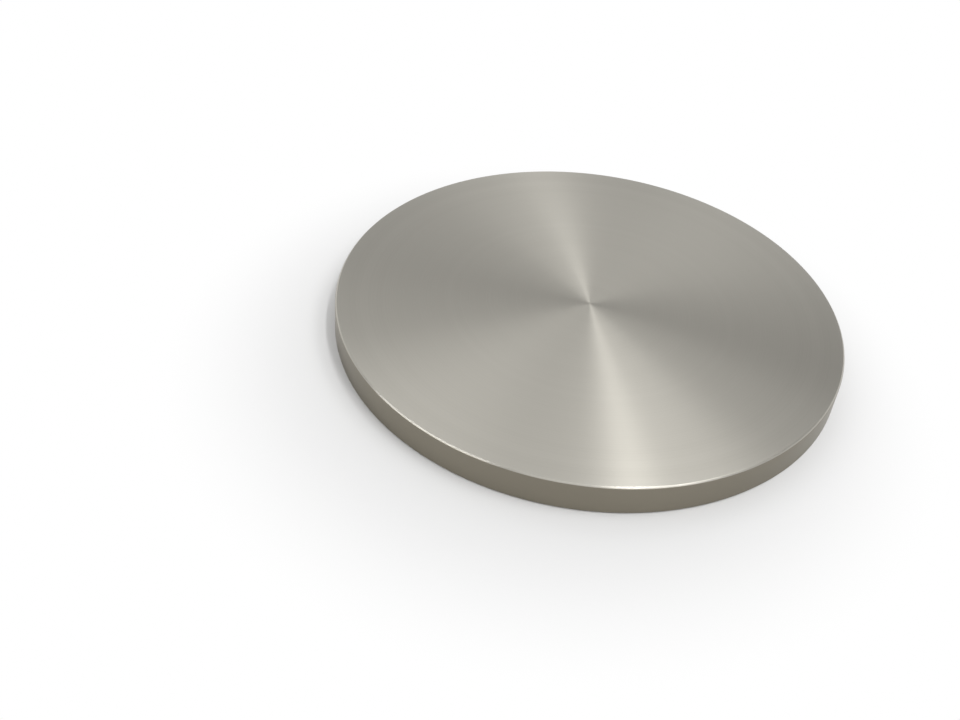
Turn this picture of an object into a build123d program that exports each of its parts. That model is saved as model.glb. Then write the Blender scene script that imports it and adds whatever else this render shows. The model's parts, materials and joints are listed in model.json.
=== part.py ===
from build123d import *

import os

# A planar sputtering target, turned from one piece of metal: a thick round plate, faced flat on both sides and
# turned true on its rim, with the sharp corner between each face and the rim broken at 45 degrees.
#
# Millimetres. The origin is the centre of the back face, the one that is clamped against the cathode's cooled
# plate. +Z runs along the disc's axis and out of the front face, the one that the plasma wears away.

# Driving dimensions

target_diameter = 101.6
target_thickness = 6.35
front_edge_break = 0.3
back_edge_break = 0.3

# Worked out from them

rim_radius = target_diameter / 2


# The disc
#
# Half of the section is drawn from the axis out to the rim and turned once round the axis, as the part is on the
# lathe. The two corners at the rim are broken afterwards, each to its own size.

with BuildPart() as target_disc:
    with BuildSketch(Plane.XZ):
        with BuildLine():
            back_face_line = Line((0, 0), (rim_radius, 0))
            rim_line = Line(back_face_line @ 1, (rim_radius, target_thickness))
            front_face_line = Line(rim_line @ 1, (0, target_thickness))
            Line(front_face_line @ 1, back_face_line @ 0)
        make_face()
    revolve(axis=Axis.Z)

    rim_corners = target_disc.edges().filter_by(GeomType.CIRCLE).sort_by(Axis.Z)
    back_corner = rim_corners[0]
    front_corner = rim_corners[-1]
    chamfer(front_corner, length=front_edge_break)
    chamfer(back_corner, length=back_edge_break)

target_disc.part.label = "target_disc"


os.makedirs("parts", exist_ok=True)
export_step(target_disc.part, "parts/target_disc.step")

face_width = target_diameter - 2 * front_edge_break
rim_land = target_thickness - front_edge_break - back_edge_break
print(f"target disc {target_diameter} mm across and {target_thickness} mm thick")
print(f"front face {face_width} mm across, straight rim {rim_land:.2f} mm high")
print(f"volume {target_disc.part.volume / 1000:.2f} cubic centimetres")
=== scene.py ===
# %% [markdown]
# A round sputtering target, turned from one piece of metal.
#
# The real object is a thick metal disc. A lathe faces it flat on both sides, turns its rim true and
# breaks the sharp corners. What makes it look like metal is how the tool leaves it: hundreds of fine
# circular lines, too close to see one by one, which pull every reflection out into a spoke that runs
# from the centre to the rim. This lesson turns the disc again as a clean mesh, gives it that lathe
# finish, and lights it in a small studio.

# %% Load the packed model
import json
import math

import bpy
from mathutils import Matrix, Vector


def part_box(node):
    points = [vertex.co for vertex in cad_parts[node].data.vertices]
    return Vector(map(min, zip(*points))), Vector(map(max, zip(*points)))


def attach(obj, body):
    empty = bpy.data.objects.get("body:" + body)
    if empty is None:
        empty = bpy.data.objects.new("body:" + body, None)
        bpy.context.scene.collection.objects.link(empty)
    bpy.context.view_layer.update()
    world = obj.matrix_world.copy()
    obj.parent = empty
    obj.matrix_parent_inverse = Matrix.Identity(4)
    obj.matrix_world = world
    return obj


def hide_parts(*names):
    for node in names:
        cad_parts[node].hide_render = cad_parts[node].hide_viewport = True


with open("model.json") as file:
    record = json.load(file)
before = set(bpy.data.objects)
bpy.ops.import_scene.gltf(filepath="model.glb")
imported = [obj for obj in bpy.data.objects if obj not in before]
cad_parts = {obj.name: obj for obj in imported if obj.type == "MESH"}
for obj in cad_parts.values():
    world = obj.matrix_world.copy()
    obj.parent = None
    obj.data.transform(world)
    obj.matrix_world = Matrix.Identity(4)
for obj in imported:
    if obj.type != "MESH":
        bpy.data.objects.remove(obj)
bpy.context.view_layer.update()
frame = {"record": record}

# %% [markdown]
# The disc's own sizes are read from the packed model and not typed in, so the dressed disc fits it by
# itself. The box of the node gives the thickness. The record lists the straight part of the rim as a
# mount, with its radius and its length, and what that length leaves of the thickness goes to the two
# broken corners.

# %% Read the sizes
MM = 0.001

low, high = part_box("target_disc")
mounts = {mount["name"]: mount for mount in frame["record"]["mounts"]}
rim = mounts["rim"]["dims"]
rim_radius = rim["r_mm"] * MM
thickness = high[2] - low[2]
edge_break = (thickness - rim["length_mm"] * MM) / 2

print(f"radius {rim_radius / MM:.2f} mm, thickness {thickness / MM:.2f} mm")
print(f"edge break {edge_break / MM:.2f} mm")

# %% [markdown]
# The camera comes before the lamps, because the eye and the lamps together say where the spokes of a
# turned face fall. It could be dragged about until the view looks right. Here it is placed by its
# direction and its distance from the centre of the front face, so that each number changes one thing.
# Angles are in degrees, and lengths are counted in disc radii. The camera aims a little to the left of
# that centre and nearer, so the disc stands to the right in the picture and a little high. It is rolled
# too, so the disc seems to tip to the right.

# %% Place the camera
CAMERA_AZIMUTH = -90
CAMERA_ELEVATION = 36.56
CAMERA_DISTANCE = 4.631
CAMERA_AIM = (-0.361, -0.457)
CAMERA_ROLL = 5.88
LENS_MM = 43.65
SENSOR_MM = 36.0
NEAREST_SEEN = 0.01
FURTHEST_SEEN = 50

face_centre = Vector((0, 0, high[2]))


def from_face(azimuth, elevation, distance):
    """A point this many degrees round and up from the centre of the front face, this many radii away."""
    turned = math.radians(azimuth)
    raised = math.radians(elevation)
    flat = math.cos(raised)
    way = Vector((flat * math.cos(turned), flat * math.sin(turned), math.sin(raised)))
    return face_centre + way * distance * rim_radius


camera_data = bpy.data.cameras.new("camera")
camera_data.lens = LENS_MM
camera_data.sensor_width = SENSOR_MM
camera_data.clip_start = NEAREST_SEEN
camera_data.clip_end = FURTHEST_SEEN
camera = bpy.data.objects.new("camera", camera_data)
bpy.context.collection.objects.link(camera)
bpy.context.scene.camera = camera

eye = from_face(CAMERA_AZIMUTH, CAMERA_ELEVATION, CAMERA_DISTANCE)
aim = face_centre + Vector((*CAMERA_AIM, 0)) * rim_radius
looking = (aim - eye).to_track_quat("-Z", "Y").to_matrix().to_4x4()
rolled = Matrix.Rotation(math.radians(CAMERA_ROLL), 4, "Z")
camera.matrix_world = Matrix.Translation(eye) @ looking @ rolled

print("camera at", [round(value, 4) for value in eye])
print("aimed at", [round(value, 4) for value in aim])

# %% [markdown]
# In edit mode a tool acts on whatever is selected. By hand one clicks on edges and faces. A script
# picks them by where they lie and which way they look, and these helpers do that for every cut that
# follows.

# %% Select by place
import bmesh

HAIR = 0.01 * MM


def start_editing(piece):
    bpy.context.view_layer.objects.active = piece
    bpy.ops.object.mode_set(mode="EDIT")


def stop_editing():
    bpy.ops.object.mode_set(mode="OBJECT")


def select(piece, kind, wanted):
    """Selects the edges or the faces that pass the test, and says how many."""
    bpy.ops.mesh.select_mode(type=kind)
    bpy.ops.mesh.select_all(action="DESELECT")
    mesh = bmesh.from_edit_mesh(piece.data)
    chosen = [part for part in (mesh.edges if kind == "EDGE" else mesh.faces) if wanted(part)]
    for part in chosen:
        part.select_set(True)
    bmesh.update_edit_mesh(piece.data)
    return len(chosen)


def runs_round(edge, nearest):
    """True for an edge of a circle round the axis that lies further out than this."""
    first, second = (vertex.co for vertex in edge.verts)
    return abs(first.z - second.z) < HAIR and min(first.xy.length, second.xy.length) > nearest


print("two heights count as one within", HAIR / MM, "mm")

# %% [markdown]
# On the lathe the disc starts as a slice of bar, and here it starts as a cylinder. A half section could
# also be spun round the axis, but that leaves a seam and two poles to close. The cylinder has many
# sides, so that its outline stays round in a close view.

# %% Cut the blank
SIDES = 256

bpy.ops.object.select_all(action="DESELECT")
bpy.ops.mesh.primitive_cylinder_add(
    vertices=SIDES, radius=rim_radius, depth=thickness, end_fill_type="NGON",
    location=(0, 0, low[2] + thickness / 2),
)
disc = bpy.context.object
disc.name = disc.data.name = "turned_disc"
bpy.ops.object.transform_apply(location=True, rotation=True, scale=True)

print("blank", [round(side / MM, 2) for side in disc.dimensions], "mm")

# %% [markdown]
# The tool breaks the two sharp corners at the rim at 45 degrees. A bevel of that size does the same. It
# has one segment, because the tool leaves a flat cone there and not a rounding.

# %% Break the corners
start_editing(disc)
corner_edges = select(disc, "EDGE", lambda edge: runs_round(edge, rim_radius - HAIR))
bpy.ops.mesh.bevel(offset=edge_break, offset_type="OFFSET", segments=1, affect="EDGES")
stop_editing()

print("corner edges broken", corner_edges)

# %% [markdown]
# No tool leaves a perfectly sharp line. Each edge of the two cones is eased by a few hundredths of a
# millimetre, in three small steps. A Bevel modifier could do it too, but the bevel tool leaves a
# finished mesh at once. These narrow strips catch a thin thread of light along the rim.

# %% Ease the edges of the two cones
EASED = 0.04 * MM
EASED_STEPS = 3

start_editing(disc)
cone_edges = select(disc, "EDGE", lambda edge: runs_round(edge, rim_radius - edge_break - HAIR))
bpy.ops.mesh.bevel(offset=EASED, offset_type="OFFSET", segments=EASED_STEPS, affect="EDGES")
stop_editing()

print("cone edges eased", cone_edges)

# %% [markdown]
# Each flat face is still one polygon with as many corners as the disc has sides. Insetting it again and
# again lays rings inside it, as the facing tool does on its way to the centre, and poking the last
# small polygon closes the middle. The rings keep the surface well made for the map that comes later,
# which has to turn round the centre.

# %% Lay rings on the two faces
RINGS = 14
RING_WIDTH = rim_radius / (RINGS + 1)
CENTRE_RING = 0.3 * MM
LEVEL = 0.999

start_editing(disc)
select(disc, "FACE", lambda face: abs(face.normal.z) > LEVEL and len(face.verts) == SIDES)
for _ in range(RINGS):
    bpy.ops.mesh.inset(thickness=RING_WIDTH, depth=0)
left_over = rim_radius - edge_break - EASED - RINGS * RING_WIDTH - CENTRE_RING
bpy.ops.mesh.inset(thickness=left_over, depth=0)
bpy.ops.mesh.poke()
stop_editing()

print("faces", len(disc.data.polygons), "of which at the two centres", 2 * SIDES)

# %% [markdown]
# Flat shading would show every side of the rim, and smooth shading alone would bend the flat faces
# towards the cones. A Weighted Normal modifier lets the large faces win, so the faces stay flat, the
# rim stays round and only the eased edges turn the light.

# %% Shade it smooth
LARGE_FACES_WIN = 100

bpy.ops.object.select_all(action="DESELECT")
disc.select_set(True)
bpy.context.view_layer.objects.active = disc
bpy.ops.object.shade_smooth()
weighted = disc.modifiers.new("weighted normals", "WEIGHTED_NORMAL")
weighted.weight = LARGE_FACES_WIN
weighted.mode = "FACE_AREA"
bpy.ops.object.modifier_apply(modifier=weighted.name)

print("disc", [round(side / MM, 3) for side in disc.dimensions], "mm")

# %% [markdown]
# The lathe's lines run round the axis. Blender's own unwrapping knows nothing of that, so the map is
# worked out point by point. Across it runs the angle, and up it runs the way that the tool takes over
# the section: from the centre of the back face out to the rim, over it, and in to the centre of the
# front face. The map's own direction then says which way the lines lie, which the exported model needs.
# The export bakes the finish through a map of this name. A face beside the seam keeps its corners
# together on one side of it.

# %% Unroll the surface
MAP_NAME = "OFBake"
SLANT = math.sqrt(2)
TOUCHING = 0.001 * MM

outer_flat = rim_radius - edge_break
cone_length = edge_break * SLANT
rim_height = thickness - 2 * edge_break
section_length = 2 * (outer_flat + cone_length) + rim_height


def along_section(point):
    """How far the tool has come along the section when it reaches this point."""
    out = point.xy.length
    if out <= outer_flat + TOUCHING:
        return out if point.z < thickness / 2 else section_length - out
    rise = point.z - low[2]
    if rise < edge_break:
        return outer_flat + rise * SLANT
    if rise <= edge_break + rim_height:
        return outer_flat + cone_length + rise - edge_break
    return outer_flat + cone_length + rim_height + (rise - edge_break - rim_height) * SLANT


uv_map = disc.data.uv_layers.active or disc.data.uv_layers.new()
uv_map.name = MAP_NAME
for face in disc.data.polygons:
    middle = math.atan2(face.center.y, face.center.x)
    for loop in face.loop_indices:
        point = disc.data.vertices[disc.data.loops[loop].vertex_index].co
        turn = math.atan2(point.y, point.x) if point.xy.length > HAIR else middle
        turn = middle + math.remainder(turn - middle, math.tau)
        uv_map.data[loop].uv = (0.5 + turn / math.tau, along_section(point) / section_length)

print(f"section {section_length / MM:.2f} mm long, mapped {len(uv_map.data)} corners")

# %% [markdown]
# A shader can be wired up by hand in the node editor. This finish is worked out by numbers, so a small
# class makes its nodes read like sums. The class holds one output of a node. Plus, minus and times on
# it add Math nodes, and every other kind of node comes from one method.

# %% Write shader sums in Python
def in_use(sockets, name=None):
    """The first socket of this name that the node's settings leave in use, or the first of all."""
    fitting = (socket for socket in sockets if socket.enabled and name in (None, socket.name))
    return next(fitting, None)


class Wire:
    """One output of a shader node, or the empty start of a tree."""

    def __init__(self, tree, socket=None):
        self.tree = tree
        self.socket = socket

    def node(self, kind, settings=None, values=None, output=None):
        """Adds a node of this type. Its settings come first, then the values or wires of its sockets."""
        added = self.tree.nodes.new(kind)
        for name, setting in (settings or {}).items():
            setattr(added, name, setting)
        for name, value in (values or {}).items():
            socket = added.inputs[name] if isinstance(name, int) else in_use(added.inputs, name)
            if isinstance(value, Wire):
                self.tree.links.new(value.socket, socket)
            else:
                socket.default_value = value
        return Wire(self.tree, in_use(added.outputs, output))

    def math(self, operation, *values):
        return self.node("ShaderNodeMath", {"operation": operation}, dict(enumerate(values)))

    def __add__(self, other):
        return self.math("ADD", self, other)

    __radd__ = __add__

    def __sub__(self, other):
        return self.math("SUBTRACT", self, other)

    def __rsub__(self, other):
        return self.math("SUBTRACT", other, self)

    def __mul__(self, other):
        return self.math("MULTIPLY", self, other)

    __rmul__ = __mul__

    def root(self):
        return self.math("SQRT", self)

    def larger(self, other):
        """This or the other, whichever is more."""
        return self.math("MAXIMUM", self, other)

    def step(self, start, end):
        """0 up to the start, 1 from the end on, and a smooth way between."""
        return self.node(
            "ShaderNodeMapRange", {"interpolation_type": "SMOOTHSTEP"},
            {"Value": self, "From Min": start, "From Max": end},
        )

    def axis(self, name):
        """The X, Y or Z of a position."""
        return self.node("ShaderNodeSeparateXYZ", values={"Vector": self}, output=name)

    def blend(self, first, second):
        """The first colour where this is 0, and the second where it is 1."""
        return self.node(
            "ShaderNodeMix", {"data_type": "RGBA"}, {"Factor": self, "A": first, "B": second}
        )


def new_material(name):
    """A material with an empty tree, and the wire to start it from."""
    material = bpy.data.materials.new(name)
    material.use_nodes = True
    material.node_tree.nodes.clear()
    return material, Wire(material.node_tree)


print("a wire has", [name for name in vars(Wire) if not name.startswith("__")])

# %% [markdown]
# Where a point lies says which line the tool cut there. The distance from the axis grows over the face,
# and the height falls down the rim. Distance less height therefore grows all the way from the centre,
# over the corner and down the rim, so one row of lines drawn along it goes over face and rim without a
# join.

# %% Find the place along the cut
def place_on_disc(start):
    """A point's position in metres, then its distance from the axis and its way along the cut in mm."""
    position = start.node("ShaderNodeTexCoord", output="Object")
    x, y, z = (position.axis(name) for name in "XYZ")
    out = (x * x + y * y).root() * (1 / MM)
    return position, out, out - z * (1 / MM)


print(f"faces end {outer_flat / MM:.2f} mm from the axis, and the rim lies at {rim_radius / MM:.2f} mm")

# %% [markdown]
# The tool marks are too fine to model: as real grooves they would take far more faces than a part that
# is used again and again should carry. So they are rows of noise along the cut. Fine rows are the feed
# marks, and slow ones are the places where the tool pressed a little harder. A faint haze in all three
# directions keeps them from looking ruled.

# %% Draw the tool marks
FEED_MARKS_PER_MM = 5.0
FEED_DETAIL = 3.0
PRESSED_PER_MM = 0.35
PRESSED_DETAIL = 2.0
ROWS_FINENESS = 0.6
HAZE_PER_M = 22.0
HAZE_DETAIL = 2.0
HAZE_FINENESS = 0.5


def rows_of_noise(along, per_mm, detail):
    """Noise that changes only along the cut, from 0 to 1."""
    return along.node(
        "ShaderNodeTexNoise", {"noise_dimensions": "1D"},
        {"W": along, "Scale": per_mm, "Detail": detail, "Roughness": ROWS_FINENESS},
    )


turned_metal, start = new_material("turned_metal")
position, out, along = place_on_disc(start)
feed_marks = rows_of_noise(along, FEED_MARKS_PER_MM, FEED_DETAIL)
pressed = rows_of_noise(along, PRESSED_PER_MM, PRESSED_DETAIL)
haze = start.node(
    "ShaderNodeTexNoise",
    values={
        "Vector": position, "Scale": HAZE_PER_M, "Detail": HAZE_DETAIL, "Roughness": HAZE_FINENESS,
    },
)

print("tool marks made with", len(turned_metal.node_tree.nodes), "nodes")

# %% [markdown]
# A metal mirrors its surroundings in its own colour, here a warm grey. The marks and the haze shift it
# between two greys that are close together. The rim is painted darker and warmer than the faces. This
# is painted shade, which stands in for the shadowed surroundings that the rim would mirror. The broken
# corners keep the colour of the faces over most of their width, so the thread of light on them stays
# bright.

# %% Colour the metal
FACED_LIGHT = (0.508, 0.489, 0.440, 1)
FACED_DARK = (0.478, 0.460, 0.412, 1)
# Painted shade: the rim's colour is darkened to stand in for the shadowed surroundings that it mirrors.
RIM_PAINTED_SHADE_COLOUR = (0.246, 0.224, 0.179, 1)
FEED_SHARE = 0.5
PRESSED_SHARE = 0.2
HAZE_SHARE = 0.3
DARK_UP_TO = 0.3
LIGHT_FROM = 0.7
CORNER_BRIGHT_MM = 0.2
SHORT_OF_RIM_MM = 0.02

tone = feed_marks * FEED_SHARE + pressed * PRESSED_SHARE + haze * HAZE_SHARE
faced_colour = tone.step(DARK_UP_TO, LIGHT_FROM).blend(FACED_DARK, FACED_LIGHT)
# The darker rim colour is painted shade. This mask lays it from just past most of the broken corner out
# to the rim.
painted_rim_shade = out.step(outer_flat / MM + CORNER_BRIGHT_MM, rim_radius / MM - SHORT_OF_RIM_MM)
metal_colour_and_rim_shade = painted_rim_shade.blend(faced_colour, RIM_PAINTED_SHADE_COLOUR)

print("colours mixed, tree now has", len(turned_metal.node_tree.nodes), "nodes")

# %% [markdown]
# The tool's lines scatter light widely across themselves and hardly along themselves. This is the
# shader's anisotropy. With nothing wired to the Tangent, Cycles runs the lines in circles round the
# piece's own Z axis, as the lathe does, and a quarter turn sends the wide scatter outwards, across the
# lines. That is what draws the bright spokes. They could be painted on, but then they would stay put as
# the lamps or the eye move. The marks change the roughness by about a hundredth, to both sides of its
# middle value.

# %% Make the turned metal
ROUGHNESS = 0.313
FEED_ROUGHENS = 0.02
PRESSING_ROUGHENS = 0.01
ANISOTROPY = 0.884
QUARTER_TURN = 0.25

smoothest = ROUGHNESS - (FEED_ROUGHENS + PRESSING_ROUGHENS) / 2
metal_shader = start.node(
    "ShaderNodeBsdfPrincipled",
    values={
        "Base Color": metal_colour_and_rim_shade,
        "Metallic": 1.0,
        "Roughness": smoothest + feed_marks * FEED_ROUGHENS + pressed * PRESSING_ROUGHENS,
        "Anisotropic": ANISOTROPY,
        "Anisotropic Rotation": QUARTER_TURN,
    },
)
start.node("ShaderNodeOutputMaterial", values={"Surface": metal_shader})

disc.data.materials.clear()
disc.data.materials.append(turned_metal)

print("turned metal has", len(turned_metal.node_tree.nodes), "nodes")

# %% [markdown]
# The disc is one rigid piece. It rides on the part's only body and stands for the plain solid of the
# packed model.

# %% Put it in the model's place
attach(disc, "root")
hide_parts("target_disc")

print(disc.name, "stands for target_disc")

# %% [markdown]
# The disc lies on a plain pale floor. Close to the disc the floor is an ordinary matt surface, so it
# takes the disc's shadow. Further off it turns by degrees into an even white for the eye and for the
# metal's reflections, as a lit studio floor does. Stronger lamps could make it white too, but they
# would wash out the metal. The matt patch is round, and it stays greyer than the white around it. Its
# middle lies a little to the left of the disc's and nearer, where the shadow falls, so besides the real
# shadow the patch paints a pool of shadow there. The middle and the two radii are counted in disc radii.

# %% Lay the floor
FLOOR_WIDTH = 6.0
FLOOR_COLOUR = (0.60, 0.60, 0.60, 1)
WHITE = (1, 1, 1, 1)
# Painted shadow: the grey matt patch is moved towards where the shadow falls, so the floor there stays
# darker than the white, also beyond the real shadow.
SHADOW_POOL_MIDDLE = (-0.1, -0.25)
SHADOW_POOL_OUT_TO = 0.8
WHITE_FROM = 1.5

bpy.ops.object.select_all(action="DESELECT")
bpy.ops.mesh.primitive_plane_add(size=FLOOR_WIDTH, location=(0, 0, low[2]))
floor = bpy.context.object
floor.name = floor.data.name = "floor"
bpy.ops.object.transform_apply(location=True, rotation=True, scale=True)

floor_paint, start = new_material("pale_floor")
position = start.node("ShaderNodeTexCoord", output="Object")
across = position.axis("X") - SHADOW_POOL_MIDDLE[0] * rim_radius
inward = position.axis("Y") - SHADOW_POOL_MIDDLE[1] * rim_radius
from_shadow_pool_middle = (across * across + inward * inward).root() * (1 / rim_radius)


def seen_directly(start):
    """1 for the rays that carry a picture: those of the eye, of a mirror and of glass."""
    names = ("Is Camera Ray", "Is Glossy Ray", "Is Transmission Ray")
    eye_ray, mirror_ray, glass_ray = (start.node("ShaderNodeLightPath", output=ray) for ray in names)
    return eye_ray.larger(mirror_ray).larger(glass_ray)


matt = start.node("ShaderNodeBsdfDiffuse", values={"Color": FLOOR_COLOUR})
glow = start.node("ShaderNodeEmission", values={"Color": WHITE, "Strength": 1.0})
# Inside the round patch the floor stays matt and grey, a painted pool of shadow around the real one.
# Outside it, it turns white.
white_share = from_shadow_pool_middle.step(SHADOW_POOL_OUT_TO, WHITE_FROM) * seen_directly(start)
mixed = start.node("ShaderNodeMixShader", values={"Fac": white_share, 1: matt, 2: glow})
start.node("ShaderNodeOutputMaterial", values={"Surface": mixed})
floor.data.materials.append(floor_paint)

print("floor", FLOOR_WIDTH, "m wide")

# %% [markdown]
# The room is an even grey, with a white band round the horizon where the floor meets it. A white room
# would be simpler, but the metal would mirror it and lose its depth. The band is low, so it closes the
# picture in the views from the side and hardly reaches the face in the view from above. It is full up
# to one height and gone from the other, both in degrees above the horizon.

# %% Light the room
ROOM_GREY = 0.285
BAND_FULL = 16
BAND_END = 32

world = bpy.data.worlds.new("room")
bpy.context.scene.world = world
world.use_nodes = True
world.node_tree.nodes.clear()
start = Wire(world.node_tree)
upward = start.node("ShaderNodeTexCoord", output="Generated").axis("Z")
above_band = upward.step(math.sin(math.radians(BAND_FULL)), math.sin(math.radians(BAND_END)))
room_colour = above_band.blend(WHITE, (ROOM_GREY, ROOM_GREY, ROOM_GREY, 1))
background = start.node("ShaderNodeBackground", values={"Color": room_colour, "Strength": 1.0})
start.node("ShaderNodeOutputWorld", values={"Surface": background})
bpy.context.scene.view_settings.view_transform = "Standard"

print("room grey", ROOM_GREY)

# %% [markdown]
# Five softboxes and one narrow tube light the disc. Each is a rectangle of even brightness that faces
# the centre of the disc, so it is placed by its direction, its distance and its turn about its own
# axis. The brightness of such a rectangle is its power divided by its area and by pi, so the power is
# worked out from the brightness that the metal should mirror. The broad boxes draw soft spokes that run
# into one another. The tube is narrow and strong, so the spoke that it draws over the near half of the
# face has a crisp edge.

# %% Hang the softboxes
def softbox(name, azimuth, elevation, distance, half_sides, turn, brightness):
    """A soft lamp that faces the disc. Angles are in degrees and lengths in disc radii."""
    width, height = (2 * half * rim_radius for half in half_sides)
    lamp = bpy.data.lights.new(name, "AREA")
    lamp.shape = "RECTANGLE"
    lamp.size = width
    lamp.size_y = height
    lamp.energy = brightness * math.pi * width * height
    box = bpy.data.objects.new(name, lamp)
    bpy.context.collection.objects.link(box)
    centre = from_face(azimuth, elevation, distance)
    facing = (face_centre - centre).to_track_quat("-Z", "Y").to_matrix().to_4x4()
    box.matrix_world = Matrix.Translation(centre) @ facing @ Matrix.Rotation(math.radians(turn), 4, "Z")
    box.visible_camera = False
    print(f"{name}: {width:.2f} x {height:.2f} m, {lamp.energy:.2f} W")


softbox("left_overhead", azimuth=-141, elevation=75, distance=6.2,
        half_sides=(2.4, 7), turn=-110, brightness=0.8)
softbox("right_overhead", azimuth=-10, elevation=57, distance=12.2,
        half_sides=(5.6, 1.9), turn=16.5, brightness=3.6)
softbox("far_fill", azimuth=65, elevation=53, distance=6,
        half_sides=(1.6, 1.8), turn=-90, brightness=0.48)
softbox("back_wash", azimuth=124, elevation=45, distance=6,
        half_sides=(1.5, 3.9), turn=-108, brightness=0.36)
softbox("left_strip", azimuth=-146, elevation=34, distance=6,
        half_sides=(2.7, 0.42), turn=-1, brightness=5.5)
softbox("key_tube", azimuth=-28, elevation=71.5, distance=16,
        half_sides=(5.6, 0.6), turn=42, brightness=25)

# %% [markdown]
